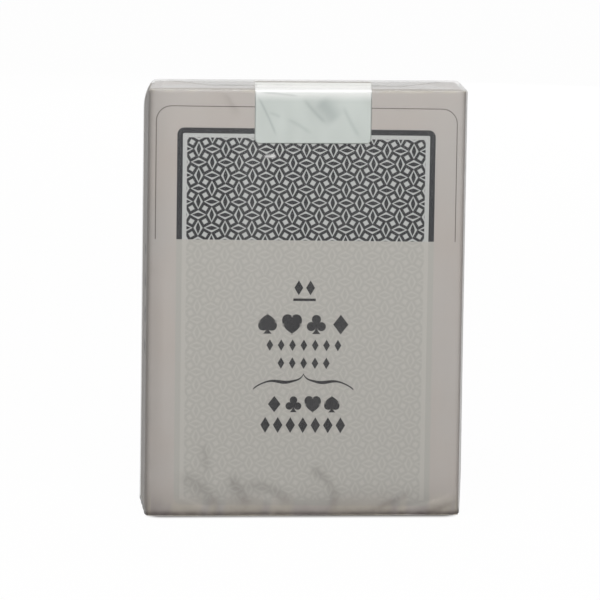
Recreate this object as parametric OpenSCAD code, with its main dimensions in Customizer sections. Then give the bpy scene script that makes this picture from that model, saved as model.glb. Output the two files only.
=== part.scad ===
// A sealed deck of poker cards: a folded board carton with a tuck end, the cards in it,
// a paper seal over the lid and a clear film wrapped round the whole.
// The deck stands on its lower end. +Z is up, the printed front faces -Y,
// and the origin is the centre of the face it stands on. Lengths are in millimetres.

/* [Cards] */
// Width of a card
card_w = 63; // [56:0.5:70]
// Height of a card
card_h = 88; // [80:0.5:100]
// Thickness of one plastic card
card_t = 0.3; // [0.25:0.01:0.35]
// Corner radius of a card
card_r = 3.5; // [2:0.25:5]
// Air between one card and the next
card_gap = 0.01; // [0.01:0.01:0.03]
// Cards in each suit
suit_cards = 13; // [8:1:13]
// Joker cards
joker_count = 2; // [1:1:4]
// Spare cards behind the jokers
spare_count = 1; // [1:1:3]

/* [Carton] */
// Thickness of the folded board
board_t = 0.4; // [0.3:0.05:0.5]
// Play between the cards and each side panel
side_play = 1.2; // [1:0.1:3]
// Play between the last card and the back panel
back_play = 0.3; // [0.2:0.05:1]
// Headroom between the cards and the dust flaps
head_play = 1.2; // [0.8:0.1:3]
// Air under the cards, where they stand on the lower flaps
foot_play = 0.05; // [0.02:0.01:0.3]
// Clearance between boards that lie over each other
board_gap = 0.1; // [0.05:0.05:0.3]
// Clearance between two boards at a crease that turns
crease_gap = 0.03; // [0.02:0.01:0.05]
// Clearance between the lid's ends and the outside of the carton
lid_side_ease = 0.2; // [0.1:0.1:1]

/* [Tuck end] */
// Length of the tuck tab below the lid
tab_l = 8; // [5:0.5:14]
// Clearance between the tuck tab and each side panel
tab_side_play = 1; // [0.6:0.1:3]
// Corner radius of the tuck tab
tab_r = 3; // [1:0.5:4.5]
// Play in front of the tuck tab, where it swings as it comes out
tab_front_play = 0.8; // [0.5:0.05:1.2]
// Play between the tuck tab and the cards
tab_back_play = 0.3; // [0.2:0.05:1]
// Length of a dust flap from its crease
flap_l = 12; // [6:0.5:18]
// Clearance between a dust flap and the tuck tab
flap_front_ease = 0.4; // [0.3:0.1:1]
// How far a dust flap's front edge slants back towards its tip
flap_front_taper = 5; // [1:0.5:6]
// Clearance between a dust flap and the back panel
flap_back_ease = 0.6; // [0.3:0.1:1]
// How far a dust flap's back edge slants forward towards its tip
flap_back_taper = 8.6; // [2:0.2:9]

/* [Glue seam] */
// Width of the glue flap
glue_flap_w = 12; // [6:0.5:15]
// How far the glue flap stops short of the dust flaps
glue_flap_ease = 2; // [1:0.5:6]
// How far the glue flap's ends slant
glue_flap_taper = 4; // [1:0.5:8]

/* [Seal label] */
// Width of the seal label
seal_w = 24.6; // [15:0.2:35]
// Thickness of the seal label
seal_t = 0.06; // [0.04:0.01:0.1]
// Length of the seal label down the front panel
seal_front_l = 11.2; // [5:0.2:25]
// Length of the seal label back over the lid
seal_top_l = 15.5; // [5:0.5:16]
// Corner radius of the seal label
seal_r = 1; // [0.5:0.1:2]
// Place of the seal label to the right of the carton's middle
seal_x = 1.1; // [-3:0.1:3]
// Slit between the two halves of the seal label
seal_slit = 0.03; // [0.02:0.01:0.1]

/* [Film] */
// Thickness of the film
film_t = 0.05; // [0.03:0.01:0.1]
// Thickness of the folded layers on each end
film_fold_t = 0.15; // [0.1:0.01:0.3]
// Slack between the film and the carton
film_gap = 0.15; // [0.12:0.01:0.4]
// Distance of the tear line below the carton's top
tear_drop = 3; // [1.5:0.5:8]
// Gap at the tear line
tear_gap = 0.05; // [0.02:0.01:0.2]

/* [Hidden] */
$fn = 64;

// The deck, counted from the front
suits = 4;
card_pitch = card_t + card_gap;
deck_cards = suits * suit_cards + joker_count + spare_count;
deck_d = deck_cards * card_pitch - card_gap;

// The carton round the deck
inner_w = card_w + 2 * side_play;
outer_w = inner_w + 2 * board_t;
slot_d = tab_front_play + board_t + tab_back_play;
inner_d = slot_d + deck_d + back_play;
outer_d = inner_d + 2 * board_t;
end_h = 2 * board_t + board_gap;
outer_h = end_h + foot_play + card_h + head_play + end_h;
base_z = film_fold_t;
top_z = base_z + outer_h;
mid_z = base_z + outer_h / 2;
front_y = -outer_d / 2;
back_y = outer_d / 2;
card_front_y = front_y + board_t + slot_d;
card_foot_z = base_z + end_h + foot_play;

// The creases: the lid's along the back, the tab's along the lid's front, a flap's along each side
lid_axis_y = back_y - board_t / 2;
lid_axis_z = top_z - board_t / 2;
tab_axis_y = front_y + board_t + tab_front_play + board_t;
tab_axis_z = top_z - board_t;
flap_axis_x = outer_w / 2 - board_t / 2;
flap_axis_z = top_z - board_t - board_gap - board_t / 2;
lid_w = outer_w - 2 * lid_side_ease;
tab_w = inner_w - 2 * tab_side_play;
flap_front_y = tab_axis_y + flap_front_ease;
flap_back_y = back_y - board_t - flap_back_ease;
back_panel_h = outer_h - 2 * (board_t + crease_gap);
side_panel_h = outer_h - 2 * (end_h + crease_gap);

// The film round the carton
film_out = film_gap + film_t;
film_w = outer_w + 2 * film_out;
film_d = outer_d + 2 * film_out;
film_r = board_t + film_out;
tear_z = top_z - tear_drop;
film_top_z = top_z + seal_t + film_gap;

board_colour = [0.70, 0.68, 0.65];
card_colour = [0.93, 0.92, 0.89];
seal_colour = [0.82, 0.83, 0.81];
film_colour = [0.85, 0.88, 0.90, 0.35];

// An outline drawn across Y and Z, carried along X about the middle
module along_x(length) {
    rotate([90, 0, 90])
        linear_extrude(length, center = true)
            children();
}

// An outline drawn across X and Z, given a thickness from y = 0 towards +Y
module facing_front(thickness) {
    translate([0, thickness, 0])
        rotate([90, 0, 0])
            linear_extrude(thickness)
                children();
}

// A rectangle about the origin with four round corners
module round_rect(w, h, r) {
    square([w, h - 2 * r], center = true);
    square([w - 2 * r, h], center = true);
    for (sx = [-1, 1], sy = [-1, 1])
        translate([sx * (w / 2 - r), sy * (h / 2 - r)])
            circle(r);
}

// A tab that hangs from y = 0, with its two lower corners round
module hanging_tab(w, h, r) {
    translate([-w / 2, -h + r])
        square([w, h - r]);
    translate([-w / 2 + r, -h])
        square([w - 2 * r, r]);
    for (sx = [-1, 1])
        translate([sx * (w / 2 - r), -h + r])
            circle(r);
}

// A quarter disc about the origin that fills -X and +Y
module quarter_disc(r) {
    intersection() {
        circle(r);
        translate([-r, 0])
            square(r);
    }
}

// The plan of a broad panel, outer face on y = 0, folded round a quarter turn at each end
module broad_panel_plan() {
    flat_w = outer_w - 2 * board_t;
    translate([-flat_w / 2, 0])
        square([flat_w, board_t]);
    for (side = [0, 1])
        mirror([side, 0])
            translate([-flat_w / 2, board_t])
                mirror([0, 1])
                    quarter_disc(board_t);
}

module side_panel() {
    translate([outer_w / 2 - board_t, front_y + board_t, mid_z - side_panel_h / 2])
        cube([board_t, inner_d, side_panel_h]);
}

// The lid with its round back crease and the quarter round where the tab turns
module lid_shape() {
    along_x(lid_w) {
        translate([tab_axis_y, tab_axis_z])
            square([lid_axis_y - tab_axis_y, board_t]);
        translate([lid_axis_y, lid_axis_z])
            circle(board_t / 2);
        translate([tab_axis_y, tab_axis_z])
            quarter_disc(board_t);
    }
}

module tab_shape() {
    translate([0, tab_axis_y - board_t, tab_axis_z - crease_gap])
        facing_front(board_t)
            hanging_tab(tab_w, tab_l, tab_r);
}

// The right dust flap with its round crease
module flap_shape() {
    translate([flap_axis_x, 0, flap_axis_z]) {
        translate([0, 0, -board_t / 2])
            linear_extrude(board_t)
                polygon([
                    [0, flap_front_y],
                    [-flap_l, flap_front_y + flap_front_taper],
                    [-flap_l, flap_back_y - flap_back_taper],
                    [0, flap_back_y]
                ]);
        translate([0, flap_back_y, 0])
            rotate([90, 0, 0])
                cylinder(h = flap_back_y - flap_front_y, r = board_t / 2);
    }
}

// The lower end, folded as the upper one is
module at_lower_end() {
    translate([0, 0, 2 * mid_z])
        mirror([0, 0, 1])
            children();
}

module card() {
    translate([0, 0, card_h / 2])
        facing_front(card_t)
            round_rect(card_w, card_h, card_r);
}

// Cards one behind the other, from the given place in the deck
module packet(first, count) {
    for (i = [first : first + count - 1])
        translate([0, card_front_y + i * card_pitch, card_foot_z])
            card();
}

module front_panel() {
    color(board_colour)
        translate([0, front_y, base_z])
            linear_extrude(outer_h)
                broad_panel_plan();
}

module back_panel() {
    color(board_colour)
        translate([0, back_y, mid_z - back_panel_h / 2])
            mirror([0, 1, 0])
                linear_extrude(back_panel_h)
                    broad_panel_plan();
}

module left_side_panel() {
    color(board_colour)
        mirror([1, 0, 0])
            side_panel();
}

module right_side_panel() {
    color(board_colour)
        side_panel();
}

// The strip that joins the back panel to the inside of the left side panel
module glue_flap() {
    flap_h = side_panel_h - 2 * glue_flap_ease;
    color(board_colour)
        translate([-outer_w / 2 + board_t, back_y - board_t, mid_z])
            rotate([90, 0, 90])
                linear_extrude(board_t)
                    polygon([
                        [0, -flap_h / 2],
                        [0, flap_h / 2],
                        [-glue_flap_w, flap_h / 2 - glue_flap_taper],
                        [-glue_flap_w, -flap_h / 2 + glue_flap_taper]
                    ]);
}

module bottom_panel() {
    color(board_colour)
        at_lower_end()
            lid_shape();
}

module bottom_tuck_tab() {
    color(board_colour)
        at_lower_end()
            tab_shape();
}

module bottom_left_flap() {
    color(board_colour)
        at_lower_end()
            mirror([1, 0, 0])
                flap_shape();
}

module bottom_right_flap() {
    color(board_colour)
        at_lower_end()
            flap_shape();
}

module lid_panel() {
    color(board_colour)
        lid_shape();
}

module tuck_tab() {
    color(board_colour)
        tab_shape();
}

module left_dust_flap() {
    color(board_colour)
        mirror([1, 0, 0])
            flap_shape();
}

module right_dust_flap() {
    color(board_colour)
        flap_shape();
}

// The half of the label on the front panel, turned over the panel's top edge
module seal_front() {
    color(seal_colour) {
        translate([seal_x, front_y - seal_t, top_z])
            facing_front(seal_t)
                hanging_tab(seal_w, seal_front_l, seal_r);
        translate([seal_x - seal_w / 2, front_y - seal_t, top_z])
            cube([seal_w, seal_t + board_t, seal_t]);
    }
}

// The half of the label on the lid, cut from the other along the front panel
module seal_top() {
    color(seal_colour)
        translate([seal_x, front_y + board_t + seal_slit, top_z])
            linear_extrude(seal_t)
                mirror([0, 1])
                    hanging_tab(seal_w, seal_top_l, seal_r);
}

// The four walls of the film
module film_wall(height) {
    linear_extrude(height)
        difference() {
            round_rect(film_w, film_d, film_r);
            round_rect(film_w - 2 * film_t, film_d - 2 * film_t, film_r - film_t);
        }
}

// The walls up to the tear line
module film_sleeve() {
    color(film_colour)
        translate([0, 0, film_fold_t])
            film_wall(tear_z - film_fold_t);
}

module film_bottom_fold() {
    color(film_colour)
        linear_extrude(film_fold_t)
            round_rect(film_w, film_d, film_r);
}

// The end of the film that comes off
module film_top_fold() {
    color(film_colour)
        translate([0, 0, film_top_z])
            linear_extrude(film_fold_t)
                round_rect(film_w, film_d, film_r);
}

// What comes off with it of the film's walls, above the tear line
module film_top_skirt() {
    skirt_z = tear_z + tear_gap;
    color(film_colour)
        translate([0, 0, skirt_z])
            film_wall(film_top_z - skirt_z);
}

module spade_cards() {
    color(card_colour)
        packet(0, suit_cards);
}

module heart_cards() {
    color(card_colour)
        packet(suit_cards, suit_cards);
}

module club_cards() {
    color(card_colour)
        packet(2 * suit_cards, suit_cards);
}

module diamond_cards() {
    color(card_colour)
        packet(3 * suit_cards, suit_cards);
}

module joker_cards() {
    color(card_colour)
        packet(suits * suit_cards, joker_count);
}

module spare_card() {
    color(card_colour)
        packet(suits * suit_cards + joker_count, spare_count);
}

front_panel();
back_panel();
left_side_panel();
right_side_panel();
glue_flap();
bottom_panel();
bottom_tuck_tab();
bottom_left_flap();
bottom_right_flap();
lid_panel();
tuck_tab();
left_dust_flap();
right_dust_flap();
seal_front();
seal_top();
film_sleeve();
film_bottom_fold();
film_top_fold();
film_top_skirt();
spade_cards();
heart_cards();
club_cards();
diamond_cards();
joker_cards();
spare_card();
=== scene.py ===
import math

import bmesh
import bpy
import numpy as np
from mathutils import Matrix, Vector


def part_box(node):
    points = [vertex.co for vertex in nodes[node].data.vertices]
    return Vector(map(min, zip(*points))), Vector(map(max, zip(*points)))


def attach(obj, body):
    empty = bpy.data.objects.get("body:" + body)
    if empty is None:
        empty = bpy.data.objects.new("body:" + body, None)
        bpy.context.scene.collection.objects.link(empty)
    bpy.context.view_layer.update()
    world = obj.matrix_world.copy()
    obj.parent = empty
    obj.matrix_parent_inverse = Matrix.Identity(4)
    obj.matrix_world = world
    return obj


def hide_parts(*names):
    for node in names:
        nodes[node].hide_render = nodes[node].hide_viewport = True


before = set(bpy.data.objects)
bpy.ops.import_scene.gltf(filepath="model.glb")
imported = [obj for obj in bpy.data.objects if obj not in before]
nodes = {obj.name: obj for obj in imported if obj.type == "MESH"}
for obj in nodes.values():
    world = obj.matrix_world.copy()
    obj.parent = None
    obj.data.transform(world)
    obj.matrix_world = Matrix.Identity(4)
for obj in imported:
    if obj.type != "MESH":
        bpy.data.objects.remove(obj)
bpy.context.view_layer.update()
mm = 0.001
print("frame loaded:", len(nodes), "nodes")


# Small helpers for meshes. Lengths inside the shapes are millimetres.
weld = dict(merge=0.002, sliver=0.0005)


def gridQuads(rows, cols, wrapRows, wrapCols, start):
    # each quad joins a grid point with the next one along and the pair above them
    i = np.arange(rows if wrapRows else rows - 1)[:, None]
    j = np.arange(cols if wrapCols else cols - 1)[None, :]
    up = (i + 1) % rows
    right = (j + 1) % cols
    quads = np.stack(np.broadcast_arrays(i * cols + j, i * cols + right,
                                         up * cols + right, up * cols + j), axis=-1)
    return quads.reshape(-1, 4) + start


def surfacePiece(name, patches, attributes=None, sharpAngle=35.0):
    # patches are (points, wrapRows, wrapCols), points being a rows by cols grid of x, y, z
    coords = np.concatenate([points.reshape(-1, 3) for points, _, _ in patches]) * mm
    starts = np.cumsum([0] + [points.shape[0] * points.shape[1] for points, _, _ in patches])
    quads = np.concatenate([gridQuads(points.shape[0], points.shape[1], wrapRows, wrapCols, start)
                            for (points, wrapRows, wrapCols), start in zip(patches, starts)])
    mesh = bpy.data.meshes.new(name)
    mesh.from_pydata(coords.tolist(), [], quads.tolist())
    for label, values in (attributes or {}).items():
        data = mesh.attributes.new(label, "FLOAT", "POINT").data
        data.foreach_set("value", np.concatenate([v.ravel() for v in values]).astype(np.float32))
    work = bmesh.new()
    work.from_mesh(mesh)
    bmesh.ops.remove_doubles(work, verts=work.verts, dist=weld["merge"] * mm)
    bmesh.ops.dissolve_degenerate(work, edges=work.edges, dist=weld["sliver"] * mm)
    work.to_mesh(mesh)
    work.free()
    mesh.polygons.foreach_set("use_smooth", np.ones(len(mesh.polygons), bool))
    mesh.set_sharp_from_angle(angle=math.radians(sharpAngle))
    mesh.update()
    piece = bpy.data.objects.new(name, mesh)
    bpy.context.scene.collection.objects.link(piece)
    return piece


def dress(piece, material):
    piece.data.materials.clear()
    piece.data.materials.append(material)


def settle(piece, material, body, slot, *stoodFor):
    # dresses a new piece, puts it on its body and lets it stand for CAD nodes
    dress(piece, material)
    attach(piece, body)
    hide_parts(*stoodFor)


# Small helpers for materials

def tone(red, green, blue):
    # a colour as a painter reads it, 0 to 255, as the linear value that a shader takes
    parts = np.array([red, green, blue]) / 255.0
    linear = np.where(parts <= 0.04045, parts / 12.92, ((parts + 0.055) / 1.055) ** 2.4)
    return (*linear.tolist(), 1.0)


class inkField:
    # a number that varies over a surface, built up from math nodes
    def __init__(self, tree, socket):
        self.tree = tree
        self.socket = socket

    def apply(self, operation, *others, clamp=False):
        node = self.tree.nodes.new("ShaderNodeMath")
        node.operation = operation
        node.use_clamp = clamp
        for place, value in enumerate((self,) + others):
            if isinstance(value, inkField):
                self.tree.links.new(value.socket, node.inputs[place])
            else:
                node.inputs[place].default_value = value
        return inkField(self.tree, node.outputs[0])

    def __add__(self, other):
        return self.apply("ADD", other)

    def __sub__(self, other):
        return self.apply("SUBTRACT", other)

    def __mul__(self, other):
        return self.apply("MULTIPLY", other)

    def __truediv__(self, other):
        return self.apply("DIVIDE", other)

    def size(self):
        return self.apply("ABSOLUTE")

    def least(self, other):
        return self.apply("MINIMUM", other)

    def most(self, other):
        return self.apply("MAXIMUM", other)

    def nearest(self):
        return self.apply("ROUND")

    def power(self, exponent):
        return self.apply("POWER", exponent)

    def under(self, edge, soft):
        # 1 below the edge, 0 above it, with a ramp as wide as soft between them
        return self.apply("MULTIPLY_ADD", -1.0 / soft, edge / soft + 0.5, clamp=True)

    def over(self, edge, soft):
        return self.apply("MULTIPLY_ADD", 1.0 / soft, 0.5 - edge / soft, clamp=True)


def newMaterial(name):
    material = bpy.data.materials.new(name)
    material.use_nodes = True
    tree = material.node_tree
    return material, tree, tree.nodes["Principled BSDF"]


def placeFields(tree, output="Object", scale=1.0 / mm):
    # the three coordinates of a point of the piece, in millimetres
    source = tree.nodes.new("ShaderNodeTexCoord")
    split = tree.nodes.new("ShaderNodeSeparateXYZ")
    tree.links.new(source.outputs[output], split.inputs[0])
    fields = [inkField(tree, split.outputs[axis]) for axis in range(3)]
    return [f * scale for f in fields] if scale != 1.0 else fields


def grain(tree, size, detail=3.0, stretch=(1.0, 1.0, 1.0)):
    # cloudy noise from 0 to 1, whose lumps are about size millimetres
    source = tree.nodes.new("ShaderNodeTexCoord")
    mapping = tree.nodes.new("ShaderNodeMapping")
    mapping.inputs["Scale"].default_value = stretch
    noise = tree.nodes.new("ShaderNodeTexNoise")
    noise.inputs["Scale"].default_value = 1.0 / (size * mm)
    noise.inputs["Detail"].default_value = detail
    tree.links.new(source.outputs["Object"], mapping.inputs["Vector"])
    tree.links.new(mapping.outputs["Vector"], noise.inputs["Vector"])
    return inkField(tree, noise.outputs["Fac"])


def attributeField(tree, name):
    node = tree.nodes.new("ShaderNodeAttribute")
    node.attribute_name = name
    return inkField(tree, node.outputs["Fac"])


def mixColour(tree, factor, first, second):
    node = tree.nodes.new("ShaderNodeMix")
    node.data_type = "RGBA"
    tree.links.new(factor.socket, node.inputs[0])
    for value, socket in ((first, node.inputs[6]), (second, node.inputs[7])):
        if isinstance(value, tuple):
            socket.default_value = value
        else:
            tree.links.new(value, socket)
    return node.outputs[2]


def addBump(tree, shader, height, distance, strength=1.0):
    node = tree.nodes.new("ShaderNodeBump")
    node.inputs["Strength"].default_value = strength
    node.inputs["Distance"].default_value = distance * mm
    tree.links.new(height.socket, node.inputs["Height"])
    tree.links.new(node.outputs["Normal"], shader.inputs["Normal"])


def roundedReach(x, z, centre, half, radius):
    # distance outside a rectangle with round corners, negative inside
    px = (x - centre[0]).size() - (half[0] - radius)
    pz = (z - centre[1]).size() - (half[1] - radius)
    outside = (px.most(0.0).power(2.0) + pz.most(0.0).power(2.0)).apply("SQRT")
    return outside + px.most(pz).least(0.0) - radius


# Camera: a long lens a little to the left of the deck and above it, turned slightly on its axis
view = dict(eye=(-88.77, -985.56, 189.92), target=(-0.24, -0.05, 45.18), roll=0.819, lens=280.2,
            sensor=36.0, clip=(0.01, 50.0))

cameraData = bpy.data.cameras.new("camera")
camera = bpy.data.objects.new("camera", cameraData)
bpy.context.scene.collection.objects.link(camera)
cameraData.lens = view["lens"]
cameraData.sensor_width = view["sensor"]
cameraData.clip_start, cameraData.clip_end = view["clip"]
eye = Vector(view["eye"]) * mm
aim = Vector(view["target"]) * mm - eye
camera.location = eye
camera.rotation_euler = aim.to_track_quat("-Z", "Y").to_euler()
camera.rotation_euler.rotate_axis("Z", math.radians(view["roll"]))
bpy.context.scene.camera = camera
bpy.context.scene.view_settings.view_transform = "Standard"
print("camera set")


# Light: a soft lamp above the front, weak ones from the camera's side and from behind, and a pale room
studio = dict(
    ambient=0.35, ambientTint=(1.0, 0.99, 0.98, 1.0), sideShade=0.35, sideEdge=(0.62, 0.5),
    lamps=(  # name, place, size, power, and whether it shows in gloss
        ("keyLamp", (-60.0, -300.0, 420.0), 360.0, 1.62, True),
        ("fillLamp", (150.0, -900.0, 250.0), 700.0, 2.4, True),
        ("backLamp", (220.0, 800.0, 320.0), 700.0, 2.2, False),
    ),
    lampTarget=(0.0, 0.0, 45.0),
    floorSize=9000.0, floorSteps=9, floorTone=(158, 156, 154), floorRough=0.9, floorSpecular=0.1,
    floorWhite=0.95, floorGlow=1.03, floorMirrored=0.30,
    contactShadow=dict(half=(31.4, 10.1), radius=1.5, reach=2.2, shade=0.9),
)


def areaLamp(name, place, size, power, inGloss):
    data = bpy.data.lights.new(name, "AREA")
    data.shape = "DISK"
    data.size = size * mm
    data.energy = power
    lamp = bpy.data.objects.new(name, data)
    lamp.location = Vector(place) * mm
    towards = Vector(studio["lampTarget"]) * mm - lamp.location
    lamp.rotation_euler = towards.to_track_quat("-Z", "Y").to_euler()
    lamp.visible_glossy = inGloss
    bpy.context.scene.collection.objects.link(lamp)


def rayKinds(tree):
    # three numbers, each 1 for one kind of ray: from the camera, off a gloss, or through glass
    path = tree.nodes.new("ShaderNodeLightPath")
    return [inkField(tree, path.outputs[kind])
            for kind in ("Is Camera Ray", "Is Glossy Ray", "Is Transmission Ray")]


def makeWorld():
    world = bpy.data.worlds.new("room")
    bpy.context.scene.world = world
    world.use_nodes = True
    tree = world.node_tree
    tree.nodes.clear()
    out = tree.nodes.new("ShaderNodeOutputWorld")
    dim = tree.nodes.new("ShaderNodeBackground")
    white = tree.nodes.new("ShaderNodeBackground")
    mix = tree.nodes.new("ShaderNodeMixShader")
    dim.inputs["Color"].default_value = studio["ambientTint"]
    dim.inputs["Strength"].default_value = studio["ambient"]
    white.inputs["Color"].default_value = (1.0, 1.0, 1.0, 1.0)
    camRay, glossRay, glassRay = rayKinds(tree)
    # reflections fall off towards the sides of the room
    side = placeFields(tree, "Generated", 1.0)[0].size().over(*studio["sideEdge"])
    level = (side * (studio["sideShade"] - 1.0) + 1.0).most(camRay)
    tree.links.new(level.socket, white.inputs["Strength"])
    tree.links.new(camRay.most(glossRay).most(glassRay).socket, mix.inputs[0])
    tree.links.new(dim.outputs[0], mix.inputs[1])
    tree.links.new(white.outputs[0], mix.inputs[2])
    tree.links.new(mix.outputs[0], out.inputs[0])


def makeFloor():
    half = studio["floorSize"] / 2
    edge = np.linspace(-half, half, studio["floorSteps"])
    gridX, gridY = np.meshgrid(edge, edge)
    points = np.stack([gridX, gridY, np.zeros_like(gridX)], axis=-1)
    floor = surfacePiece("floor", [(points, False, False)])
    material, tree, shader = newMaterial("paleFloor")
    shader.inputs["Base Color"].default_value = tone(*studio["floorTone"])
    shader.inputs["Roughness"].default_value = studio["floorRough"]
    shader.inputs["Specular IOR Level"].default_value = studio["floorSpecular"]
    glow = tree.nodes.new("ShaderNodeEmission")
    glow.inputs["Strength"].default_value = studio["floorGlow"]
    mix = tree.nodes.new("ShaderNodeMixShader")
    camRay, glossRay, glassRay = rayKinds(tree)
    # painted contact shadow: the white fades out close to the foot, where the floor lies in the box's shade
    contactShadow = studio["contactShadow"]
    x, y, _ = placeFields(tree)
    reach = roundedReach(x, y, (0.0, 0.0), contactShadow["half"], contactShadow["radius"])
    bare = reach.under(contactShadow["reach"] / 2, contactShadow["reach"]) * -contactShadow["shade"] + 1.0
    seen = camRay * bare * studio["floorWhite"]
    share = seen.most(glossRay.most(glassRay) * studio["floorMirrored"])
    tree.links.new(share.socket, mix.inputs[0])
    tree.links.new(shader.outputs[0], mix.inputs[1])
    tree.links.new(glow.outputs[0], mix.inputs[2])
    tree.links.new(mix.outputs[0], tree.nodes["Material Output"].inputs["Surface"])
    dress(floor, material)


makeWorld()
makeFloor()
for row in studio["lamps"]:
    areaLamp(*row)
print("floor and lamps set")


# Print on the board. Each function gives how much ink lies on a point, from 0 to 1.
inkPen = dict(soft=0.05, dark=(13, 14, 23), thin=(80, 73, 68), wearSize=0.5, wearSpan=0.08, wearLeast=0.915)

lattice = dict(left=-24.22, top=80.00, pitchX=2.849, pitchZ=2.798, cols=18, rows=28,
               ring=0.388, cell=0.170, turn=30.0, coreLong=0.46, coreWide=0.164, coreRound=1.35,
               margin=0.37)


def latticeInk(x, z, look):
    # squares on a grid, turned one way and the other by turns, each with a pale middle;
    # the gaps between them are rhombs, lying and standing by turns, each with a pointed core
    q = (x - look["left"]) / look["pitchX"]
    r = (z * -1.0 + look["top"]) / look["pitchZ"]
    soft = inkPen["soft"]
    cosine = math.cos(math.radians(look["turn"]))
    sine = math.sin(math.radians(look["turn"]))

    def cell(q, r):
        i = q.nearest()
        j = r.nearest()
        odd = (i + j).apply("FLOORED_MODULO", 2.0)
        return q - i, r - j, odd * -2.0 + 1.0

    a, b, sign = cell(q, r)
    u = a * cosine + b * sign * sine
    v = b * cosine - a * sign * sine
    reach = u.size().most(v.size())
    ring = reach.under(look["ring"], soft) - reach.under(look["cell"], soft)
    a, b, sign = cell(q - 0.5, r - 0.5)
    a = a.size()
    b = b.size()
    total = a + b
    lean = (b - a) * sign
    along = (total + lean) * (0.5 / look["coreLong"])
    across = (total - lean) * (0.5 / look["coreWide"])
    core = (across + along.power(look["coreRound"])).under(1.0, soft * 4.0)
    halfCols = (look["cols"] - 1) / 2
    halfRows = (look["rows"] - 1) / 2
    inside = (q - halfCols).size().under(halfCols + look["margin"], soft)
    inside = inside * (r - halfRows).size().under(halfRows + look["margin"], soft)
    return ring.most(core) * inside


def lineInk(reach, inner, outer):
    # a line that lies between two distances from an outline
    soft = inkPen["soft"]
    return reach.under(outer, soft) - reach.under(inner, soft)


def suitInks(u, v):
    # spade, heart, club and diamond, about two units high: a heart is (x2 + y2 - 1)3 - x2 y3 below zero,
    # a spade is a heart upside down on a foot, a club is three discs on a foot
    au = u.size()
    foot = (au - (v * -1.0 - 0.30).most(0.0).power(2.0) * 0.75).under(0.09, 0.07)
    foot = foot * v.under(-0.20, 0.05) * v.over(-0.98, 0.05)

    def heartForm(u, w):
        square = (u * 1.139).power(2.0)
        return (square + w * w - 1.0).power(3.0) - square * w * w * w

    heart = heartForm(au, v * 1.118 + 0.118).under(0.0, 0.03)
    spade = heartForm(au * 1.06, v * -1.32 + 0.36).under(0.0, 0.03).most(foot)
    top = au.power(2.0) + (v - 0.50).power(2.0)
    side = (au - 0.50).power(2.0) + (v + 0.22).power(2.0)
    middle = au.power(2.0) + v.power(2.0)
    club = top.least(side).least(middle * 2.2).under(0.215, 0.06).most(foot)
    diamond = (au * 1.3 + v.size()).under(1.0, 0.06)
    return [spade, heart, club, diamond]


def suitRow(x, z, rows):
    # the four suits in a row; rows are (height, half size, pitch), told apart by the nearest height
    (highZ, highSize, highPitch), (lowZ, lowSize, lowPitch) = rows
    low = z.under((highZ + lowZ) / 2, 0.01)
    size = low * (lowSize - highSize) + highSize
    pitch = low * (lowPitch - highPitch) + highPitch
    row = x / pitch + 1.5
    spot = row.nearest().least(3.0).most(0.0)
    u = (row - spot) * pitch / size
    v = (z - (low * (lowZ - highZ) + highZ)) / size
    order = spot + low * (spot * -2.0 + 3.0)
    spade, heart, club, diamond = [shape * (order - float(place)).size().under(0.5, 0.1)
                                   for place, shape in enumerate(suitInks(u, v))]
    return spade + heart + club + diamond


def lozengeRow(x, z, height, count, pitch, half):
    # a row of small upright lozenges
    spot = (x / pitch + (count - 1) / 2).nearest().least(count - 1.0).most(0.0)
    u = (x - (spot - (count - 1) / 2) * pitch).size() / half[0]
    v = (z - height).size() / half[1]
    return (u + v).under(1.0, 0.08)


def braceInk(x, z, look):
    # a lying brace: it falls from its point, waves along the arm and drops at the end; thickest mid arm
    t = x.size() / look["arm"]
    fall = ((t * (-1.0 / look["fallReach"])).apply("EXPONENT") * -1.0 + 1.0) * look["fall"]
    wave = ((t - 0.36) * (2.0 * math.pi / look["waveLength"])).apply("COSINE") * t.over(0.12, 0.2)
    wave = wave * look["wave"]
    drop = t.most(0.0).power(8.0) * look["drop"]
    bell = (((t - 0.42) / 0.22).power(2.0) * -1.0).apply("EXPONENT")
    thick = bell * look["swell"] + look["thin"]
    line = (z - look["point"] + fall + wave + drop).size() - thick
    return line.under(0.0, inkPen["soft"] * 1.6) * t.under(1.0, 0.01)


frontPrint = dict(
    # the thin line round the card, then the dark frame
    outline=dict(centre=(0.04, 43.05), half=(31.86, 44.58), radius=3.2, width=0.20),
    frame=dict(centre=(0.0, 42.71), half=(27.37, 40.38), radius=1.5, width=1.19),
    darkFrom=59.34, faint=0.11, shift=-0.15, askew=0.0075, faceFrom=9.70,
    underline=dict(height=46.66, half=(2.4, 0.28)),
    suitRows=((41.4, 2.12, 5.2), (24.2, 1.76, 4.1)),  # height, half size and pitch of each row
    lozenges=(  # height, count, pitch and half size of each row
        (49.22, 2, 2.5, (0.95, 1.6)),
        (36.9, 7, 2.42, (0.72, 1.25)),
        (33.05, 5, 2.42, (0.72, 1.25)),
        (19.7, 7, 2.68, (1.02, 1.72)),
    ),
    brace=dict(arm=10.7, point=30.68, fall=1.62, fallReach=0.075, wave=0.16, waveLength=0.55, drop=1.55,
               thin=0.17, swell=0.19),
)
backPrint = dict(frontPrint, darkFrom=-5.0)
# the second row of the sides' print lies below the panel, out of sight
sidePrint = dict(middle=45.7, suitRows=((0.0, 1.9, 7.0), (-90.0, 1.0, 1.0)), faceFrom=32.9)

paper = dict(main=(182, 178, 175), warm=(181, 174, 169), inner=(184, 182, 177), bright=(186, 188, 187),
             raw=(196, 190, 178), speck=(168, 160, 147), cloudSize=14.0, fibreSize=0.35, speckSize=0.8,
             rough=0.55, roughSpan=0.18, specular=0.2, grainBump=0.010, bumpStrength=0.6)


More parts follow.
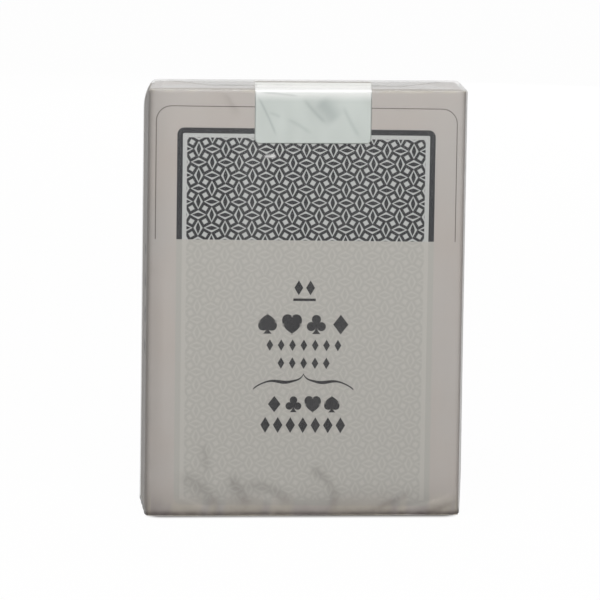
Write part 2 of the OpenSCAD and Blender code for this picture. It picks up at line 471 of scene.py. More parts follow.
def paperBase(tree, shader, outerMask):
    # coated board: a warm pale tone with soft clouds and a fine fibre; the inner side is raw and specked
    clouds = grain(tree, paper["cloudSize"], 2.0).over(0.5, 0.5)
    fibres = grain(tree, paper["fibreSize"], 4.0)
    coated = mixColour(tree, clouds, tone(*paper["main"]), tone(*paper["warm"]))
    specks = grain(tree, paper["speckSize"], 5.0).over(0.55, 0.6) * 0.35
    raw = mixColour(tree, specks, tone(*paper["raw"]), tone(*paper["speck"]))
    shader.inputs["Specular IOR Level"].default_value = paper["specular"]
    rough = fibres * paper["roughSpan"] + (paper["rough"] - paper["roughSpan"] / 2)
    tree.links.new(rough.socket, shader.inputs["Roughness"])
    addBump(tree, shader, fibres, paper["grainBump"], paper["bumpStrength"])
    return mixColour(tree, outerMask, raw, coated)


def outerFace(tree):
    return attributeField(tree, "inside") * -1.0 + 1.0


def inkWear(tree):
    # the print is a little thin in places
    return grain(tree, inkPen["wearSize"], 4.0) * inkPen["wearSpan"] + inkPen["wearLeast"]


def cardBackInk(x, z, look, grid):
    # the ink of the lattice and of the dark line round it, and the ground inside that line
    reach = roundedReach(x, z, look["centre"], look["half"], look["radius"])
    line = lineInk(reach, -look["width"], 0.0)
    return latticeInk(x, z, grid).most(line), reach.under(0.0, 0.1)


def emblemInk(x, z, look):
    # plain suit signs, lozenges, a short bar and a brace, one above the other
    ink = suitRow(x, z, look["suitRows"])
    for height, count, pitch, half in look["lozenges"]:
        ink = ink.most(lozengeRow(x, z, height, count, pitch, half))
    ink = ink.most(braceInk(x, z, look["brace"]))
    bar = look["underline"]
    reach = (x.size() - bar["half"][0]).most((z - bar["height"]).size() - bar["half"][1])
    return ink.most(reach.under(0.0, inkPen["soft"]))


def panelMaterial(name, facing, look, emblem):
    # a broad panel: the picture of a card back, dark down to a height and faint below it
    material, tree, shader = newMaterial(name)
    x, y, z = placeFields(tree)
    x = x * -facing - look["shift"]
    z = z + x * look["askew"]  # the print runs a little downhill
    outer = outerFace(tree)
    colour = paperBase(tree, shader, outer)
    onFace = (y * facing).over(look["faceFrom"], 0.04) * outer
    dark = z.over(look["darkFrom"], 0.06)
    strength = dark * (1.0 - look["faint"]) + look["faint"]
    ink, ground = cardBackInk(x, z, look["frame"], lattice)
    tint = mixColour(tree, dark, tone(*paper["inner"]), tone(*paper["bright"]))
    colour = mixColour(tree, ground * onFace, colour, tint)
    o = look["outline"]
    edge = roundedReach(x, z, o["centre"], o["half"], o["radius"])
    thin = lineInk(edge, -o["width"] / 2, o["width"] / 2) * dark * onFace
    ink = ink * strength
    if emblem:
        ink = ink.most(emblemInk(x, z, look))
    colour = mixColour(tree, thin * 0.8, colour, tone(*inkPen["thin"]))
    colour = mixColour(tree, ink * onFace * inkWear(tree), colour, tone(*inkPen["dark"]))
    tree.links.new(colour, shader.inputs["Base Color"])
    return material


def sideMaterial(name, facing):
    # a side panel: the four suits in a row, read along the height
    material, tree, shader = newMaterial(name)
    x, y, z = placeFields(tree)
    outer = outerFace(tree)
    colour = paperBase(tree, shader, outer)
    ink = suitRow(z - sidePrint["middle"], y * facing, sidePrint["suitRows"])
    ink = ink * (x * facing).over(sidePrint["faceFrom"], 0.04) * outer
    colour = mixColour(tree, ink * inkWear(tree), colour, tone(*inkPen["dark"]))
    tree.links.new(colour, shader.inputs["Base Color"])
    return material


# Carton: the broad panels are U shaped in plan, with a round crease at each side
carton = dict(halfWidth=33.45, shift=0.15, rearShare=-0.5, frontY=-9.82, backY=9.82, board=0.4,
              creaseRadius=1.0, frontZ=(0.15, 91.20), backZ=(0.58, 90.77), sideZ=(1.08, 90.27),
              creaseSteps=9, flatSteps=41, sideSteps=13, lowSteps=17, highSteps=11)

# the top of the box is racked: its rear edge stands a little to the right of the front one
rack = dict(slope=0.092, start=85.2, reach=6.1, power=2.4, frontY=-9.82, rightShare=0.25, halfWidth=33.5)


def racked(points):
    # a sideways shear that grows with height and depth, and is less towards the right
    rise = np.clip((points[..., 2] - rack["start"]) / rack["reach"], 0.0, 1.0) ** rack["power"]
    across = np.clip(0.5 + 0.5 * points[..., 0] / rack["halfWidth"], 0.0, 1.0)
    share = 1.0 + (rack["rightShare"] - 1.0) * across
    moved = points.copy()
    moved[..., 0] += rack["slope"] * (points[..., 1] - rack["frontY"]) * rise * share
    return moved


def foldedPlan(radius, inset):
    # the plan line of a broad panel, inset from the outside: a quarter round, the flat, a quarter round
    steps = carton["creaseSteps"]
    half = carton["halfWidth"]
    left = np.linspace(math.pi, 1.5 * math.pi, steps)
    right = np.linspace(1.5 * math.pi, 2.0 * math.pi, steps)
    flat = np.linspace(-half + radius, half - radius, carton["flatSteps"])[1:-1]
    r = radius - inset
    x = np.concatenate([-half + radius + r * np.cos(left), flat, half - radius + r * np.cos(right)])
    y = np.concatenate([radius + r * np.sin(left), np.full(flat.shape, inset), radius + r * np.sin(right)])
    return np.stack([x, y], axis=-1)


def boardPiece(name, outerLine, innerLine, zRange, material, body, node):
    # a board between two plan lines, carried from the lower to the upper height
    heights = np.concatenate([np.linspace(zRange[0], rack["start"], carton["lowSteps"]),
                              np.linspace(rack["start"], zRange[1], carton["highSteps"])[1:]])

    def wall(line):
        size = (heights.size, len(line))
        points = np.concatenate([np.broadcast_to(line, size + (2,)),
                                 np.broadcast_to(heights[:, None, None], size + (1,))], axis=-1)
        # the box sits a little to the right, apart from the rear of its left side
        rear = carton["rearShare"]
        left = 0.5 * (1.0 + rear) - 0.5 * (1.0 - rear) * points[..., 1] / carton["backY"]
        across = np.clip(0.5 + 0.5 * points[..., 0] / carton["halfWidth"], 0.0, 1.0)
        points[..., 0] += carton["shift"] * (left + (1.0 - left) * across)
        return racked(points)

    outer = wall(outerLine)
    inner = wall(innerLine)[:, ::-1]
    faces = [
        outer,
        inner,
        np.stack([outer[-1], inner[-1][::-1]]),
        np.stack([inner[0][::-1], outer[0]]),
        np.stack([outer[:, -1], inner[:, 0]], axis=1),
        np.stack([inner[:, -1], outer[:, 0]], axis=1),
    ]
    mesh = [(points, False, False) for points in faces]
    inside = [np.full(points.shape[:2], 0.0 if k == 0 else 1.0) for k, points in enumerate(faces)]
    settle(surfacePiece(name, mesh, {"inside": inside}), material, body, "board", node)


def makeCarton():
    outer = foldedPlan(carton["creaseRadius"], 0.0)
    inner = foldedPlan(carton["creaseRadius"], carton["board"])
    front = np.array([0.0, carton["frontY"]])
    boardPiece("front_board", outer + front, inner + front, carton["frontZ"],
               panelMaterial("printedFront", -1.0, frontPrint, True), "carton", "front_panel")
    boardPiece("back_board", -(outer + front), -(inner + front), carton["backZ"],
               panelMaterial("printedBack", 1.0, backPrint, False), "carton", "back_panel")
    # the sides are flat boards between the creases
    frontEnd = carton["frontY"] + carton["creaseRadius"]
    backEnd = carton["backY"] - carton["creaseRadius"]
    depth = np.linspace(frontEnd, backEnd, carton["sideSteps"])
    right = np.stack([np.full(depth.shape, carton["halfWidth"]), depth], axis=-1)
    inset = np.array([carton["board"], 0.0])
    boardPiece("right_board", right, right - inset, carton["sideZ"],
               sideMaterial("printedRight", 1.0), "carton", "right_side_panel")
    boardPiece("left_board", -right, -right + inset, carton["sideZ"],
               sideMaterial("printedLeft", -1.0), "carton", "left_side_panel")


def slabPiece(name, upper, material, body, node):
    # a flat board: a grid above, the same below, and a strip round the rim
    lower = upper - np.array([0.0, 0.0, carton["board"]])
    around = [grid[where] for grid in (lower, upper)
              for where in (np.s_[0, :-1], np.s_[:-1, -1], np.s_[-1, :0:-1], np.s_[:0:-1, 0])]
    rim = np.stack([np.concatenate(around[:4]), np.concatenate(around[4:])])
    piece = surfacePiece(name, [(upper, False, False), (lower[:, ::-1], False, False), (rim, False, True)])
    settle(piece, material, body, "board", node)


makeCarton()
print("carton made")


# Boards that keep their CAD shape: the outside is coated, the side that faces in is raw
def flapMaterial(name, axis, sign):
    material, tree, shader = newMaterial(name)
    normal = placeFields(tree, "Normal", 1.0)[axis]
    outer = (normal * sign).over(0.0, 1.0)
    tree.links.new(paperBase(tree, shader, outer), shader.inputs["Base Color"])
    return material


upBoard = flapMaterial("boardFacingUp", 2, 1.0)
downBoard = flapMaterial("boardFacingDown", 2, -1.0)
frontBoard = flapMaterial("boardFacingFront", 1, -1.0)
leftBoard = flapMaterial("boardFacingLeft", 0, -1.0)
for node, material in (
    ("right_dust_flap", upBoard),
    ("bottom_panel", downBoard),
    ("bottom_left_flap", downBoard),
    ("bottom_right_flap", downBoard),
    ("tuck_tab", frontBoard),
    ("bottom_tuck_tab", frontBoard),
    ("glue_flap", leftBoard),
):
    dress(nodes[node], material)

# the lid and the left dust flap lean with the top of the box, so they are new boards
lid = dict(halfWidth=32.9, y=(-8.62, 9.78), top=91.2, steps=(41, 21))
leftFlap = dict(crease=-32.88, frontTaper=5.0, backTaper=8.6, wall=-33.35, steps=(25, 21))


def makeLid():
    # a flat grid over the top, racked as the walls are
    cols, rows = lid["steps"]
    x, y = np.meshgrid(np.linspace(-lid["halfWidth"], lid["halfWidth"], cols), np.linspace(*lid["y"], rows))
    upper = racked(np.stack([x, y, np.full(x.shape, lid["top"])], axis=-1))
    slabPiece("lid_board", upper, upBoard, "lid", "lid_panel")


def makeLeftFlap():
    # narrower towards its tip; its crease keeps inside the leaning side board
    low, high = [np.array(corner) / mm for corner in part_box("left_dust_flap")]
    cols, rows = leftFlap["steps"]
    along = np.linspace(0.0, 1.0, cols)[None, :]
    across = np.linspace(0.0, 1.0, rows)[:, None]
    front = low[1] + leftFlap["frontTaper"] * along
    back = high[1] - leftFlap["backTaper"] * along
    y = front + (back - front) * across
    x = leftFlap["crease"] + (high[0] - leftFlap["crease"]) * along + 0.0 * y
    z = np.full(x.shape, high[2])
    wall = racked(np.stack([np.full(x.shape, leftFlap["wall"]), y, z], axis=-1))[..., 0]
    slabPiece("left_flap_board", np.stack([np.maximum(x, wall), y, z], axis=-1), upBoard,
              "left_dust_flap", "left_dust_flap")


makeLid()
makeLeftFlap()
print("flaps dressed")


# Cards: pale plastic with a fine weave. The backs face the front and carry the lattice, the faces carry
# a thin border.
cardLook = dict(
    frame=dict(centre=(0.0, 45.1), half=(27.37, 39.65), radius=1.5, width=1.05),
    border=dict(centre=(0.0, 45.1), half=(28.6, 41.1), radius=2.0, width=0.25),
    lattice=dict(lattice, top=82.87),
    pale=(230, 229, 224), shade=(220, 218, 212), cut=(150, 147, 142), firstY=-7.925, pitch=0.31,
    partingShade=0.45, streakShade=0.55, rough=0.26, roughSpan=0.12,
)


def cardMaterial():
    material, tree, shader = newMaterial("cardPlastic")
    x, y, z = placeFields(tree)
    normal = placeFields(tree, "Normal", 1.0)[1]
    clouds = grain(tree, 6.0, 2.0)
    colour = mixColour(tree, clouds, tone(*cardLook["pale"]), tone(*cardLook["shade"]))
    ink, _ = cardBackInk(x, z, cardLook["frame"], cardLook["lattice"])
    b = cardLook["border"]
    reach = roundedReach(x, z, b["centre"], b["half"], b["radius"])
    border = lineInk(reach, -b["width"], 0.0)
    for mark, side in ((ink, normal.under(-0.5, 0.2)), (border, normal.over(0.5, 0.2))):
        colour = mixColour(tree, mark * side, colour, tone(*inkPen["dark"]))
    # on the cut edges a thin painted shade line parts each card from the next, and streaks vary their tone
    # at random
    stack = (y - cardLook["firstY"]) / cardLook["pitch"]
    partingPaintedShade = (stack - stack.nearest()).size().under(0.16, 0.12) * cardLook["partingShade"]
    streak = grain(tree, 0.55, 3.0, (0.01, 1.0, 0.01)).over(0.52, 0.25) * cardLook["streakShade"]
    onEdge = normal.size().under(0.5, 0.2)
    colour = mixColour(tree, partingPaintedShade.most(streak) * onEdge, colour, tone(*cardLook["cut"]))
    tree.links.new(colour, shader.inputs["Base Color"])
    weave = grain(tree, 0.25, 2.0)
    tree.links.new((weave * cardLook["roughSpan"] + cardLook["rough"]).socket, shader.inputs["Roughness"])
    addBump(tree, shader, weave, 0.006, 0.5)
    return material


cards = cardMaterial()
for node in ("spade_cards", "heart_cards", "club_cards", "diamond_cards", "joker_cards", "spare_card"):
    dress(nodes[node], cards)
print("cards dressed")


# Seal: a silvery label over the front panel's top edge, slit there, with small slanting wrinkles.
# The film clings to it, so its values stand before the film's.
seal = dict(centreX=1.14, width=24.7, lidAskew=0.085, lidSpread=0.012, bottom=80.0, rear=6.11,
            slit=(-9.42, -9.39), corner=1.0, rearCorner=0.6, frontY=-9.93, topZ=91.33, bend=0.40, thick=0.06,
            dip=dict(y=-9.05, depth=0.05, width=0.25), metallic=0.55, rough=0.38, roughSpan=0.08,
            # of these four colours the third is a painted highlight towards the top and the last is painted
            # shade along the wrinkles
            pale=(185, 191, 188), cloud=(176, 182, 179), turned=(252, 252, 252), foldShading=(118, 126, 128))


# Film: a loose clear wrap, folded in at both ends and seamed down the back
filmWrap = dict(halfWidth=33.62, halfDepth=10.02, corner=1.3, tear=88.2, tearGap=0.05, top=91.60, foot=0.05,
                edge=0.7, leftSlack=0.12, rightSlack=0.34, backSlack=0.25, flapReach=13.0, seamHalf=5.0,
                endOverlap=4.0, ripple=0.02, crumple=0.10, footShade=2.6, bandShade=0.85, sideShade=0.40,
                leftShade=0.12, rightShade=0.6, rimHighlight=0.30, cling=1.0, gloss=0.13,
                # the second and third colours are those of painted shade and of painted highlights
                clear=(0.985, 0.985, 0.98, 1.0), blotchyShade=(96, 87, 86), rim=(236, 235, 235),
                flatSteps=(170, 44, 110, 44), cornerSteps=11, edgeSteps=7, endSteps=14)

# creases of the film on the front: start, end, width, height, bow and shade,
# which is painted shade below zero and a painted highlight above
frontCreases = (
    ((-21.5, 16.2), (-20.4, 9.0), 0.75, 0.03, 0.1, -0.40),
    ((-26.6, 9.6), (-17.4, 1.4), 1.35, 0.06, 0.7, -0.56),
    ((-26.4, 4.8), (-19.6, 1.6), 0.40, 0.05, -0.3, 0.35),
    ((-16.2, 9.4), (-11.4, 1.0), 1.25, 0.06, 0.4, -0.60),
    ((-14.0, 6.6), (-1.6, 1.4), 1.10, 0.04, 2.2, -0.45),
    ((-9.6, 4.6), (-4.6, 2.0), 0.70, 0.03, 0.4, 0.25),
    ((1.3, 10.8), (7.0, 5.4), 0.90, 0.05, 0.5, -0.52),
    ((6.8, 6.8), (6.2, 0.4), 1.10, 0.05, 0.3, -0.50),
    ((12.6, 0.4), (23.8, 5.7), 0.65, 0.06, -0.3, -0.62),
    ((19.0, 1.2), (30.4, 4.0), 0.45, 0.05, -0.3, 0.35),
    ((26.0, 0.7), (33.0, 3.4), 0.60, 0.05, -0.3, -0.58),
    ((27.0, 2.6), (32.6, 5.4), 0.45, 0.04, -0.3, 0.25),
    ((-13.8, 88.0), (-13.4, 30.0), 1.40, 0.04, 0.3, 0.10),
    ((-30.4, 62.0), (-30.0, 12.0), 1.40, 0.04, 0.3, 0.10),
    ((30.2, 60.0), (30.7, 10.0), 1.40, 0.04, -0.3, 0.08),
    ((-18.2, 91.4), (-14.6, 86.0), 0.60, 0.06, 0.2, -0.35),
    # a painted glint
    ((-9.4, 77.3), (-6.4, 77.0), 0.22, 0.05, 0.2, 3.20),
)


def crease(x, z, start, end, width, bow):
    # a soft fold along a bowed line: a bell across it from 0 to 1, fading out at both ends
    dx, dz = end[0] - start[0], end[1] - start[1]
    length = math.hypot(dx, dz)
    t = ((x - start[0]) * dx + (z - start[1]) * dz) / length ** 2
    d = ((z - start[1]) * dx - (x - start[0]) * dz) / length
    d = d - bow * 4.0 * t * (1.0 - t)
    fade = np.clip(np.minimum(t, 1.0 - t) * 4.0, 0.0, 1.0)
    return np.exp(-(d / width) ** 2) * fade * fade * (3.0 - 2.0 * fade)


def filmPlan():
    # the plan of the wrap from the front left round: four flats, four round corners, and outward normals
    w, d, r = filmWrap["halfWidth"], filmWrap["halfDepth"], filmWrap["corner"]
    flats = [np.linspace(0.0, 1.0, n, endpoint=False)[1:] for n in filmWrap["flatSteps"]]
    arcs = [np.linspace(a, a + 0.5 * math.pi, filmWrap["cornerSteps"])
            for a in (-0.5 * math.pi, 0.0, 0.5 * math.pi, math.pi)]
    starts = ((-w + r, -d), (w, -d + r), (w - r, d), (-w, d - r))
    ends = ((w - r, -d), (w, d - r), (-w + r, d), (-w, -d + r))
    centres = ((w - r, -d + r), (w - r, d - r), (-w + r, d - r), (-w + r, -d + r))
    facing = ((0.0, -1.0), (1.0, 0.0), (0.0, 1.0), (-1.0, 0.0))
    places, normals = [], []
    for flat, arc, start, end, centre, out in zip(flats, arcs, starts, ends, centres, facing):
        places.append(np.array(start) + flat[:, None] * (np.array(end) - np.array(start)))
        normals.append(np.broadcast_to(np.array(out), (flat.size, 2)))
        turned = np.stack([np.cos(arc), np.sin(arc)], axis=-1)
        places.append(np.array(centre) + r * turned)
        normals.append(turned)
    return np.concatenate(places), np.concatenate(normals)


def filmSwell(x, y, z, nx, ny):
    # how far the film stands off the carton: slack on the sides and back, creases and ripples on the front,
    # and a crumpled foot
    tall = np.sin(math.pi * np.clip((z + 2.0) / 96.0, 0.0, 1.0))  # most at mid height
    front = np.clip(-ny, 0.0, 1.0) ** 2
    back = np.clip(ny, 0.0, 1.0) ** 2
    left = np.clip(-nx, 0.0, 1.0) ** 2
    right = np.clip(nx, 0.0, 1.0) ** 2
    # on the left it is tight at the top and the foot, on the right it is loosest low down
    loose = np.clip((91.0 - z) / 26.0, 0.0, 1.0) ** 0.6 * np.clip((z + 0.5) / 5.0, 0.0, 1.0) ** 0.7
    swell = left * filmWrap["leftSlack"] * loose * (0.80 + 0.20 * np.cos(y * 0.25 + 0.6))
    low = 1.0 + 0.35 * np.clip(1.0 - z / 40.0, 0.0, 1.0)
    swell = swell + right * filmWrap["rightSlack"] * low * np.clip((z + 0.5) / 10.0, 0.0, 1.0) ** 0.6
    swell = swell + back * filmWrap["backSlack"] * tall * (0.5 + 0.5 * np.cos(x * 0.06))
    for start, end, width, height, bow, _ in frontCreases:
        swell = swell + front * height * crease(x, z, start, end, width, bow)
    ripple = np.sin(x * 0.23 + 0.7 * np.sin(z * 0.07)) * np.sin(z * 0.045 + 1.1)
    swell = swell + (front + back) * filmWrap["ripple"] * ripple
    along = np.where(np.abs(nx) > 0.5, y, x)
    crumple = np.abs(np.sin(along * 0.55 + 0.9 * np.sin(z * 0.16))) * np.exp(-z / 5.0)
    return swell + filmWrap["crumple"] * crumple * (left + right + back)


def makeFilm():
    plan, normal = filmPlan()
    x, y = plan[None, :, 0], plan[None, :, 1]
    nx, ny = normal[None, :, 0], normal[None, :, 1]
    edge = filmWrap["edge"]

    def walls(z):
        z = z[:, None]
        out = filmSwell(x, y, z, nx, ny)
        return racked(np.stack(np.broadcast_arrays(x + nx * out, y + ny * out, z + 0.0 * x), axis=-1))

    def turnIn(lastRing, level, sign):
        # the wall turns over a small round edge and runs in to the middle line of the end
        sweep = np.linspace(0.0, 0.5 * math.pi, filmWrap["edgeSteps"])[1:, None]
        run = np.linspace(edge, filmWrap["halfDepth"], filmWrap["endSteps"])[1:, None]
        inset = np.concatenate([edge * (1.0 - np.cos(sweep)), run])
        rise = np.concatenate([edge * np.sin(sweep), np.full(run.shape, edge)])
        w = np.maximum(filmWrap["halfWidth"] - inset, 0.0)
        d = np.maximum(filmWrap["halfDepth"] - inset, 0.0)
        r = np.minimum(filmWrap["corner"], d)
        spanX = filmWrap["halfWidth"] - filmWrap["corner"]
        spanY = filmWrap["halfDepth"] - filmWrap["corner"]
        sx = np.clip(x, -spanX, spanX) / spanX * (w - r)
        sy = np.clip(y, -spanY, spanY) / spanY * (d - r)
        keep = np.clip(1.0 - inset / 2.0, 0.0, 1.0)  # the slack dies out over 2 mm
        out = r + filmSwell(x, y, np.full((1, 1), lastRing), nx, ny) * keep
        z = lastRing + sign * rise * (abs(level - lastRing) / edge)
        return racked(np.stack(np.broadcast_arrays(sx + nx * out, sy + ny * out, z + 0.0 * x), axis=-1))

    def creaseShade(z):
        # painted shade and highlights: creases get dark painted smudges and pale painted highlights, the
        # foot, the front's left edge and the sides get painted shade, and the fold round the foot a dark
        # painted line
        z = z[:, None]
        shade = -filmWrap["footShade"] * np.exp(-((z - filmWrap["foot"] - 0.2) / 0.75) ** 2) + 0.0 * x
        front = np.clip(-ny, 0.0, 1.0)
        shade = shade - front * filmWrap["bandShade"] * np.exp(-(z / 4.0) ** 2)
        shade = shade - front * filmWrap["sideShade"] * np.exp(-((x + filmWrap["halfWidth"]) / 3.2) ** 2)
        shade = shade - filmWrap["rightShade"] * np.clip(nx, 0.0, 1.0) ** 2
        shade = shade - filmWrap["leftShade"] * np.clip(-nx, 0.0, 1.0) ** 2
        for start, end, width, _, bow, depth in frontCreases:
            shade = shade + front * depth * crease(x, z, start, end, width, bow)
        return shade

    def endFlap(side, level, lift, up):
        # a folded end flap: a trapezoid from one long edge, its ends slanting in, a little proud at its rim
        s = np.linspace(0.0, 1.0, 22)[:, None]
        t = np.linspace(-1.0, 1.0, 90)[None, :] * (-side * up)
        reach = filmWrap["flapReach"]
        px = t * (filmWrap["halfWidth"] - 1.4 - s * reach * 0.9)
        py = side * (filmWrap["halfDepth"] - 0.8 - s * reach) + 0.0 * t
        wave = 0.03 * np.sin(px * 0.5 + side) * s + 0.02 * np.sin(px * 1.3 + 2.0) * s * s
        pz = np.maximum(level + up * (lift * (0.2 + 0.8 * s ** 0.5) + np.abs(wave)), 0.0)
        # a painted highlight along the flap's outer edges
        rim = np.maximum(np.clip(s * 6.0 - 5.0, 0.0, 1.0), np.clip(np.abs(t) * 40.0 - 39.0, 0.0, 1.0))
        return racked(np.stack(np.broadcast_arrays(px, py, pz), axis=-1)), rim * filmWrap["rimHighlight"]

    def backSeam():
        # the wrap's long seam, a strip lying on the back
        sx = np.linspace(filmWrap["seamHalf"], -filmWrap["seamHalf"], 22)[None, :]
        sz = np.linspace(1.5, filmWrap["tear"] - 0.2, 90)[:, None]
        back = filmWrap["halfDepth"]
        py = back + filmSwell(sx, back, sz, 0.0 * sx, 1.0 + 0.0 * sx) + 0.06
        py = py + 0.03 * np.abs(np.sin(sz * 0.35 + sx * 0.6))
        # a painted highlight along both edges of the seam
        rim = np.clip(np.abs(sx) / filmWrap["seamHalf"] * 8.0 - 7.0, 0.0, 1.0) + 0.0 * sz
        return np.stack(np.broadcast_arrays(sx, py, sz), axis=-1), rim * filmWrap["rimHighlight"]

    sleeveZ = np.concatenate([np.linspace(filmWrap["foot"] + edge, 14.0, 50),
                              np.linspace(14.0, filmWrap["tear"], 130)[1:]])
    foot = turnIn(sleeveZ[0], filmWrap["foot"], -1.0)[::-1]
    # painted shade on the foot's turn-in, darkest along its round edge
    footShade = np.full(foot.shape[:2], -0.3)
    footShade[-filmWrap["edgeSteps"]:] = -filmWrap["footShade"]
    sleeveShade = np.concatenate([footShade, creaseShade(sleeveZ)])
    sleeve = np.concatenate([foot, walls(sleeveZ)])
    capZ = np.linspace(filmWrap["tear"] + filmWrap["tearGap"], filmWrap["top"] - edge, 12)
    crown = turnIn(capZ[-1], filmWrap["top"], 1.0)
    # a painted highlight round the cap's top edge
    rim = np.zeros(crown.shape[:2])
    rim[:filmWrap["edgeSteps"] + 1] = filmWrap["rimHighlight"]
    capShade = np.concatenate([creaseShade(capZ), rim])
    cap = np.concatenate([walls(capZ), crown])
    sleeveParts = [(sleeve, sleeveShade, True), (*backSeam(), False)]
    capParts = [(cap, capShade, True)]
    for side, lift in ((-1.0, 0.04), (1.0, 0.10)):
        capParts.append((*endFlap(side, filmWrap["top"], lift, 1.0), False))
        sleeveParts.append((*endFlap(side, filmWrap["foot"], lift * 0.4, -1.0), False))
    return sleeveParts, capParts


def filmMaterial():
    material = bpy.data.materials.new("clearFilm")
    material.use_nodes = True
    tree = material.node_tree
    tree.nodes.clear()
    out = tree.nodes.new("ShaderNodeOutputMaterial")
    clear = tree.nodes.new("ShaderNodeBsdfTransparent")
    clear.inputs["Color"].default_value = filmWrap["clear"]
    gloss = tree.nodes.new("ShaderNodeBsdfGlossy")
    gloss.inputs["Roughness"].default_value = filmWrap["gloss"]
    hazeAndPaintedLight = tree.nodes.new("ShaderNodeBsdfDiffuse")
    weight = tree.nodes.new("ShaderNodeLayerWeight")
    weight.inputs["Blend"].default_value = 0.5
    # more gloss at a low angle, and none where the film clings to the seal
    shine = (inkField(tree, weight.outputs["Facing"]).power(5.0) * 0.80 + 0.036).least(0.42)
    shine = shine * (attributeField(tree, "cling") * -filmWrap["cling"] + 1.0)
    mixGloss = tree.nodes.new("ShaderNodeMixShader")
    tree.links.new(shine.socket, mixGloss.inputs[0])
    tree.links.new(clear.outputs[0], mixGloss.inputs[1])
    tree.links.new(gloss.outputs[0], mixGloss.inputs[2])
    # soft upright streaks of haze, white painted highlights on folds (positive) and grey painted shade in
    # creases, on the foot and at the sides (negative)
    foldShading = attributeField(tree, "foldShading")
    streak = grain(tree, 7.0, 3.0, (1.0, 1.0, 0.12)).over(0.60, 0.4) * 0.030 + 0.005
    shade = mixColour(tree, foldShading.over(-0.02, 0.04), tone(*filmWrap["blotchyShade"]), tone(*filmWrap["rim"]))
    tree.links.new(shade, hazeAndPaintedLight.inputs["Color"])
    blotchyShade = grain(tree, 2.2, 3.0) * 0.8 + 0.4
    hazeAndPaintedLightShare = (streak + foldShading.size() * blotchyShade * 0.26).least(0.85)
    mixHazeAndPaintedLight = tree.nodes.new("ShaderNodeMixShader")
    tree.links.new(hazeAndPaintedLightShare.socket, mixHazeAndPaintedLight.inputs[0])
    tree.links.new(mixGloss.outputs[0], mixHazeAndPaintedLight.inputs[1])
    tree.links.new(hazeAndPaintedLight.outputs[0], mixHazeAndPaintedLight.inputs[2])
    tree.links.new(mixHazeAndPaintedLight.outputs[0], out.inputs["Surface"])
    return material


sleeveParts, capParts = makeFilm()
film = filmMaterial()


def filmPiece(name, parts):
    # the film clings to the smooth seal, and shows no gloss of its own there
    def onSeal(points):
        onLid = np.clip(points[..., 1] - seal["slit"][1], 0.0, None)
        middle = seal["centreX"] + seal["lidAskew"] * onLid
        across = np.abs(points[..., 0] - middle) < seal["width"] / 2 + seal["lidSpread"] * onLid
        return (across & (points[..., 2] > seal["bottom"]) & (points[..., 1] < seal["rear"])) * 1.0

    return surfacePiece(name, [(points, False, wrap) for points, _, wrap in parts],
                        {"foldShading": [shade for _, shade, _ in parts],
                         "cling": [onSeal(points) for points, _, _ in parts]}, sharpAngle=180.0)


sleeve = filmPiece("film_sleeve_wrap", sleeveParts)
cap = filmPiece("film_cap_wrap", capParts)
for piece, body, replaced in ((sleeve, "carton", ("film_sleeve", "film_bottom_fold")),
                              (cap, "film_top", ("film_top_fold", "film_top_skirt"))):
    settle(piece, film, body, "film", *replaced)
# the cut width: the girth and a seam
flatWidth = 2 * (2 * filmWrap["halfWidth"] + 2 * filmWrap["halfDepth"]) - 8 * filmWrap["corner"]
flatWidth = flatWidth + 2 * math.pi * filmWrap["corner"] + 2 * filmWrap["seamHalf"]
print("film made")


# wrinkles of the seal: start, end, width, height, bow and shade, a painted shade along the wrinkle
sealWrinkles = (
    ((-11.0, 90.6), (-6.4, 81.0), 0.20, 0.006, 0.2, 0.42),
    ((-10.6, 90.8), (-1.6, 90.0), 0.18, 0.005, 0.1, 0.34),
    ((2.0, 89.4), (6.2, 84.4), 1.70, 0.008, 0.3, 0.34),
    ((-1.2, 89.8), (4.2, 84.0), 0.38, 0.006, -0.2, 0.28),
    ((7.2, 88.4), (11.4, 80.8), 0.40, 0.006, -0.2, 0.22),
    ((-4.8, 85.4), (1.2, 81.8), 0.36, 0.004, 0.2, 0.20),
    ((-8.4, 86.6), (-5.6, 85.4), 0.30, 0.003, 0.1, 0.20),
)


def sealStrip(name, run, y, z, outY, outZ, nearRound, farRound, body, node):
    # a strip carried along a path in y and z; its half width along the run rounds the corners at its ends
    y, z, outY, outZ = [path[:, None] for path in (y, z, outY, outZ)]
    t = np.linspace(-1.0, 1.0, 90)[None, :]
    r = seal["corner"] if nearRound else seal["rearCorner"]
    ends = np.minimum(run if nearRound else np.inf, run[-1] - run if farRound else np.inf)
    narrow = r - np.sqrt(np.maximum(r ** 2 - (r - np.minimum(ends, r)) ** 2, 0.0))
    x = seal["centreX"] + t * (seal["width"] / 2 - narrow)[:, None]
    lift = 0.005 * np.sin(x * 0.9 + z * 0.7) + 0.005
    shade = 0.0 * x
    for start, end, width, height, bow, depth in sealWrinkles:
        foldShading = crease(x, z, start, end, width, bow)
        lift = lift + height * foldShading
        shade = shade + depth * foldShading
    # on the lid the label runs a little to the right and spreads
    x = x + (seal["lidAskew"] + seal["lidSpread"] * t) * (y - seal["slit"][1]).clip(0.0)
    points = np.stack(np.broadcast_arrays(x, y + outY * lift, z + outZ * lift), axis=-1)
    piece = surfacePiece(name, [(points, False, False)], {"wrinkleShade": [shade]})
    skin = piece.modifiers.new("thickness", "SOLIDIFY")
    skin.thickness = seal["thick"] * mm
    skin.offset = -1.0
    settle(piece, silver, body, "seal", node)


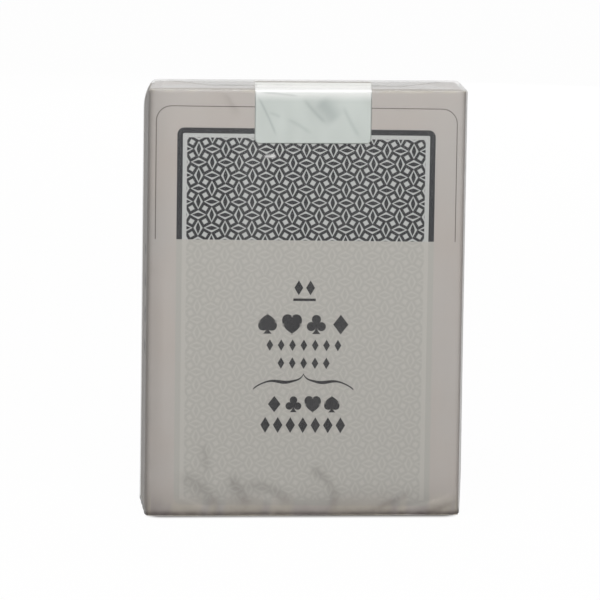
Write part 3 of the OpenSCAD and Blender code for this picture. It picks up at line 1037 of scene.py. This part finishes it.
def sealMaterial():
    # pressed foil paper: cool pale silver, with painted shade along its wrinkles; towards the top, where it
    # turns over the edge, a painted highlight makes it white and no longer metallic
    material, tree, shader = newMaterial("silverSeal")
    height = placeFields(tree)[2]
    clouds = grain(tree, 5.0, 1.0, (1.0, 1.0, 0.55))
    colour = mixColour(tree, clouds.over(0.5, 0.5), tone(*seal["pale"]), tone(*seal["cloud"]))
    # painted highlight: white and not metallic towards the top
    turn = height.over(90.2, 2.8).power(1.4)
    colour = mixColour(tree, turn, colour, tone(*seal["turned"]))
    # painted shade along the wrinkles
    colour = mixColour(tree, attributeField(tree, "wrinkleShade"), colour, tone(*seal["foldShading"]))
    tree.links.new(colour, shader.inputs["Base Color"])
    tree.links.new((turn * -seal["metallic"] + seal["metallic"]).socket, shader.inputs["Metallic"])
    rough = grain(tree, 0.6, 2.0) * seal["roughSpan"] + seal["rough"]
    tree.links.new(rough.socket, shader.inputs["Roughness"])
    return material


silver = sealMaterial()


def makeSeal():
    # the front half runs up the panel, round the bend and on to the slit; the rear half lies on the lid
    wall = np.linspace(seal["bottom"], seal["topZ"] - seal["bend"], 70)
    arc = np.linspace(0.0, 0.5 * math.pi, 9)[1:]
    over = np.linspace(seal["frontY"] + seal["bend"], seal["slit"][0], 4)[1:]
    y = np.concatenate([np.full(wall.shape, seal["frontY"]),
                        seal["frontY"] + seal["bend"] * (1.0 - np.cos(arc)), over])
    z = np.concatenate([wall, seal["topZ"] - seal["bend"] * (1.0 - np.sin(arc)),
                        np.full(over.shape, seal["topZ"])])
    outY = np.concatenate([np.full(wall.shape, -1.0), -np.cos(arc), np.zeros(over.shape)])
    outZ = np.concatenate([np.zeros(wall.shape), np.sin(arc), np.ones(over.shape)])
    run = np.concatenate([[0.0], np.cumsum(np.hypot(np.diff(y), np.diff(z)))])
    sealStrip("seal_front_strip", run, y, z, outY, outZ, True, False, "carton", "seal_front")
    y = np.linspace(seal["slit"][1], seal["rear"], 80)
    dip = seal["dip"]
    z = seal["topZ"] - dip["depth"] * np.exp(-((y - dip["y"]) / dip["width"]) ** 2)
    flat = np.zeros(y.shape)
    sealStrip("seal_top_strip", y - y[0], y, z, flat, flat + 1.0, False, True, "lid", "seal_top")


makeSeal()
print("seal made")
